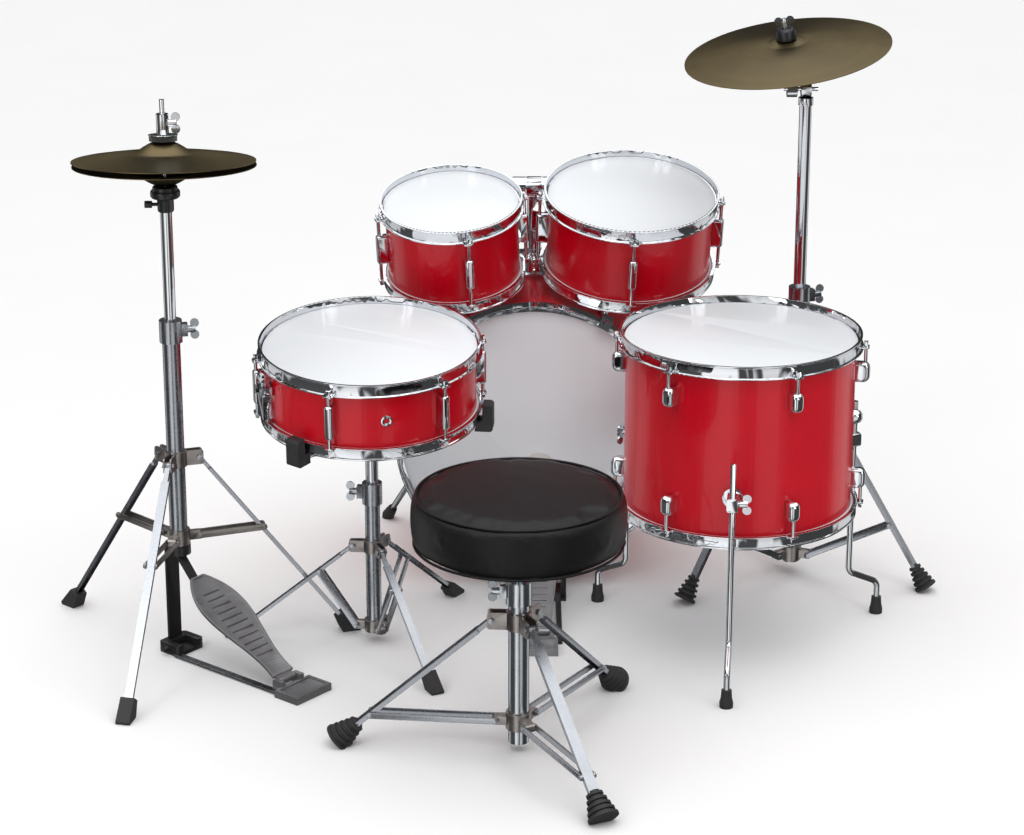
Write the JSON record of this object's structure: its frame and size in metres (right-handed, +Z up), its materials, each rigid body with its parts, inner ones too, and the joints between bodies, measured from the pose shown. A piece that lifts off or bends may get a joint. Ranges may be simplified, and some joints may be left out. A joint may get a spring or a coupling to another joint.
{
  "type": "acoustic drum kit",
  "caption": "Junior acoustic drum kit with bass drum and pedal, hanging toms, floor tom, snare on its stand, hi-hat, crash cymbal and throne, in red wrap and chrome",
  "frame": {"origin": "on the floor under the middle of the kit, at the bottom centre of its bounding box", "axes": "+Z up, +Y away from the player towards the front head of the bass drum, +X to the player's right"},
  "size_m": [1.3299, 1.1471, 0.8741],
  "materials": {
    "shell_red": "glossy red wrap",
    "chrome": "polished chrome plating",
    "drumhead": "coated white film",
    "hardware": "chrome-plated steel tube and castings",
    "strap_steel": "bright zinc-plated strip",
    "cymbal": "lathed dark bronze",
    "vinyl": "black grained vinyl",
    "black_metal": "black painted steel",
    "board_grey": "grey pressed footboard",
    "rubber": "black moulded rubber feet and grips",
    "felt": "pressed felt",
    "bracket_steel": "dull plated pressings of the tripods' brackets",
    "wire": "bright snare wire"
  },
  "bodies": {
    "root": {"bass_shell": "shell_red", "bass_hoops": "chrome", "bass_heads": "drumhead", "bass_lugs": "chrome", "bass_brackets": "hardware", "floor_tom_shell": "shell_red", "floor_tom_hoops": "chrome", "floor_tom_heads": "drumhead", "floor_tom_lugs": "chrome", "snare_stand": "strap_steel", "hihat_stand": "strap_steel", "hihat_pedal_frame": "black_metal", "crash_stand": "strap_steel", "throne_tube": "hardware", "kick_frame": "black_metal"},
    "bass_spur_left": {"bass_spur_left": "hardware"},
    "bass_spur_right": {"bass_spur_right": "hardware"},
    "tom_post": {"tom_post": "hardware"},
    "tom_left": {"tom_left_arm": "hardware", "tom_left_shell": "shell_red", "tom_left_hoops": "chrome", "tom_left_heads": "drumhead", "tom_left_lugs": "chrome"},
    "tom_right": {"tom_right_arm": "hardware", "tom_right_shell": "shell_red", "tom_right_hoops": "chrome", "tom_right_heads": "drumhead", "tom_right_lugs": "chrome"},
    "floor_tom_leg_front": {"floor_tom_leg_front": "hardware"},
    "floor_tom_leg_left": {"floor_tom_leg_left": "hardware"},
    "floor_tom_leg_right": {"floor_tom_leg_right": "hardware"},
    "snare_post": {"snare_stand_post": "hardware"},
    "snare_drum": {"snare_basket": "hardware", "snare_shell": "shell_red", "snare_hoops": "chrome", "snare_heads": "drumhead", "snare_lugs": "chrome", "snare_strainer": "chrome", "snare_wires": "wire"},
    "snare_lever": {"snare_lever": "chrome"},
    "hihat_upper": {"hihat_upper_tube": "hardware", "hihat_bottom_cymbal": "cymbal"},
    "hihat_rod": {"hihat_rod": "hardware"},
    "hihat_clutch": {"hihat_clutch": "hardware", "hihat_top_cymbal": "cymbal"},
    "hihat_footboard": {"hihat_footboard": "board_grey"},
    "crash_upper": {"crash_upper_tube": "hardware"},
    "crash_tilter": {"crash_tilter": "hardware"},
    "crash_cymbal": {"crash_cymbal": "cymbal"},
    "throne_post": {"throne_post": "hardware"},
    "throne_cushion": {"throne_cushion": "vinyl"},
    "throne_collar": {"throne_collar": "strap_steel"},
    "throne_leg_front": {"throne_leg_front": "strap_steel"},
    "throne_brace_front": {"throne_brace_front": "strap_steel"},
    "throne_leg_left": {"throne_leg_left": "strap_steel"},
    "throne_brace_left": {"throne_brace_left": "strap_steel"},
    "throne_leg_right": {"throne_leg_right": "strap_steel"},
    "throne_brace_right": {"throne_brace_right": "strap_steel"},
    "kick_footboard": {"kick_footboard": "board_grey"},
    "kick_beater": {"kick_beater": "hardware"}
  },
  "joints": [
    {"name": "bass_spur_left_fold", "type": "hinge", "parent": "root", "child": "bass_spur_left", "pos_m": [-0.142, 0.448, 0.112], "axis": [0.907, 0, -0.4211], "range_deg": [-120, 0]},
    {"name": "bass_spur_right_fold", "type": "hinge", "parent": "root", "child": "bass_spur_right", "pos_m": [0.228, 0.448, 0.112], "axis": [0.907, 0, 0.4211], "range_deg": [-120, 0]},
    {"name": "tom_post_height", "type": "slide", "parent": "root", "child": "tom_post", "axis": [0, 0, 1], "range_m": [0, 0.06]},
    {"name": "tom_left_tilt", "type": "hinge", "parent": "tom_post", "child": "tom_left", "pos_m": [0.021, 0.45, 0.578], "axis": [1, 0, 0], "range_deg": [-22, 1.5]},
    {"name": "tom_right_tilt", "type": "hinge", "parent": "tom_post", "child": "tom_right", "pos_m": [0.067, 0.45, 0.578], "axis": [1, 0, 0], "range_deg": [-22, 0.5]},
    {"name": "floor_tom_leg_front_height", "type": "slide", "parent": "root", "child": "floor_tom_leg_front", "axis": [0, 0, 1], "range_m": [-0.04, 0.1]},
    {"name": "floor_tom_leg_left_height", "type": "slide", "parent": "root", "child": "floor_tom_leg_left", "axis": [0, 0, 1], "range_m": [-0.04, 0.1]},
    {"name": "floor_tom_leg_right_height", "type": "slide", "parent": "root", "child": "floor_tom_leg_right", "axis": [0, 0, 1], "range_m": [-0.04, 0.1]},
    {"name": "snare_stand_height", "type": "slide", "parent": "root", "child": "snare_post", "axis": [0, 0, 1], "range_m": [-0.035, 0.05]},
    {"name": "snare_basket_tilt", "type": "hinge", "parent": "snare_post", "child": "snare_drum", "pos_m": [-0.192, 0.04, 0.3], "axis": [1, 0, 0], "range_deg": [-10, 14]},
    {"name": "snare_lever_throw", "type": "hinge", "parent": "snare_drum", "child": "snare_lever", "pos_m": [-0.33991, -0.02349, 0.40783], "axis": [0.4226, -0.901, -0.0979], "range_deg": [0, 70]},
    {"name": "hihat_height", "type": "slide", "parent": "root", "child": "hihat_upper", "axis": [0, 0, 1], "range_m": [-0.1, 0]},
    {"name": "hihat_footboard_press", "type": "hinge", "parent": "root", "child": "hihat_footboard", "pos_m": [-0.30943, -0.13142, 0.014], "axis": [-0.6414, -0.7672, 0], "range_deg": [0, 1.4], "stiffness_Nm_per_rad": 60, "springref_deg": -2.86},
    {"name": "hihat_rod_pull", "type": "slide", "parent": "root", "child": "hihat_rod", "axis": [0, 0, -1], "range_m": [0, 0.00442]},
    {"name": "hihat_clutch_height", "type": "slide", "parent": "hihat_rod", "child": "hihat_clutch", "axis": [0, 0, 1], "range_m": [0, 0.015]},
    {"name": "crash_height", "type": "slide", "parent": "root", "child": "crash_upper", "axis": [0, 0, 1], "range_m": [-0.06, 0.12]},
    {"name": "crash_tilt", "type": "hinge", "parent": "crash_upper", "child": "crash_tilter", "pos_m": [0.42249, 0.31104, 0.76296], "axis": [1, 0, 0], "range_deg": [-25, 20]},
    {"name": "crash_cymbal_spin", "type": "hinge", "parent": "crash_tilter", "child": "crash_cymbal", "pos_m": [0.414, 0.305, 0.819], "axis": [-0.149, -0.106, 0.9831], "continuous": true},
    {"name": "throne_height", "type": "slide", "parent": "root", "child": "throne_post", "axis": [0, 0, 1], "range_m": [-0.035, 0.085]},
    {"name": "throne_swivel", "type": "hinge", "parent": "throne_post", "child": "throne_cushion", "pos_m": [0.019, -0.333, 0.292], "axis": [0, 0, 1], "continuous": true},
    {"name": "throne_fold", "type": "slide", "parent": "root", "child": "throne_collar", "axis": [0, 0, 1], "range_m": [0, 0.0955]},
    {"name": "throne_leg_front_fold", "type": "hinge", "parent": "root", "child": "throne_leg_front", "pos_m": [0.03484, -0.36533, 0.19], "axis": [0.898, 0.4399, 0], "range_deg": [0, 41.16]},
    {"name": "throne_brace_front_fold", "type": "hinge", "parent": "throne_collar", "child": "throne_brace_front", "pos_m": [0.03264, -0.36084, 0.045], "axis": [0.898, 0.4399, 0], "range_deg": [0, 79.05]},
    {"name": "throne_leg_right_fold", "type": "hinge", "parent": "root", "child": "throne_leg_right", "pos_m": [0.03908, -0.30312, 0.19], "axis": [-0.83, 0.5577, 0], "range_deg": [0, 41.16]},
    {"name": "throne_brace_right_fold", "type": "hinge", "parent": "throne_collar", "child": "throne_brace_right", "pos_m": [0.03629, -0.30727, 0.045], "axis": [-0.83, 0.5577, 0], "range_deg": [0, 79.05]},
    {"name": "throne_leg_left_fold", "type": "hinge", "parent": "root", "child": "throne_leg_left", "pos_m": [-0.01692, -0.33055, 0.19], "axis": [-0.068, -0.9977, 0], "range_deg": [0, 41.16]},
    {"name": "throne_brace_left_fold", "type": "hinge", "parent": "throne_collar", "child": "throne_brace_left", "pos_m": [-0.01193, -0.33089, 0.045], "axis": [-0.068, -0.9977, 0], "range_deg": [0, 79.05]},
    {"name": "kick_footboard_press", "type": "hinge", "parent": "root", "child": "kick_footboard", "pos_m": [0.05, 0.034, 0.014], "axis": [1, 0, 0], "range_deg": [-6.5, 0], "stiffness_Nm_per_rad": 40, "springref_deg": 8.59},
    {"name": "kick_beater_swing", "type": "hinge", "parent": "root", "child": "kick_beater", "pos_m": [0.05, 0.2, 0.125], "axis": [1, 0, 0], "range_deg": [-42, 0]}
  ],
  "couplings": [
    {"joint": "hihat_rod_pull", "follows": "hihat_footboard_press", "m_per_rad": 0.179},
    {"joint": "throne_leg_front_fold", "follows": "throne_fold", "rad_per_m": 7.5136},
    {"joint": "throne_brace_front_fold", "follows": "throne_fold", "rad_per_m": 14.438},
    {"joint": "throne_leg_right_fold", "follows": "throne_fold", "rad_per_m": 7.5136},
    {"joint": "throne_brace_right_fold", "follows": "throne_fold", "rad_per_m": 14.438},
    {"joint": "throne_leg_left_fold", "follows": "throne_fold", "rad_per_m": 7.5136},
    {"joint": "throne_brace_left_fold", "follows": "throne_fold", "rad_per_m": 14.438},
    {"joint": "kick_beater_swing", "follows": "kick_footboard_press", "ratio": 6.4}
  ]
}
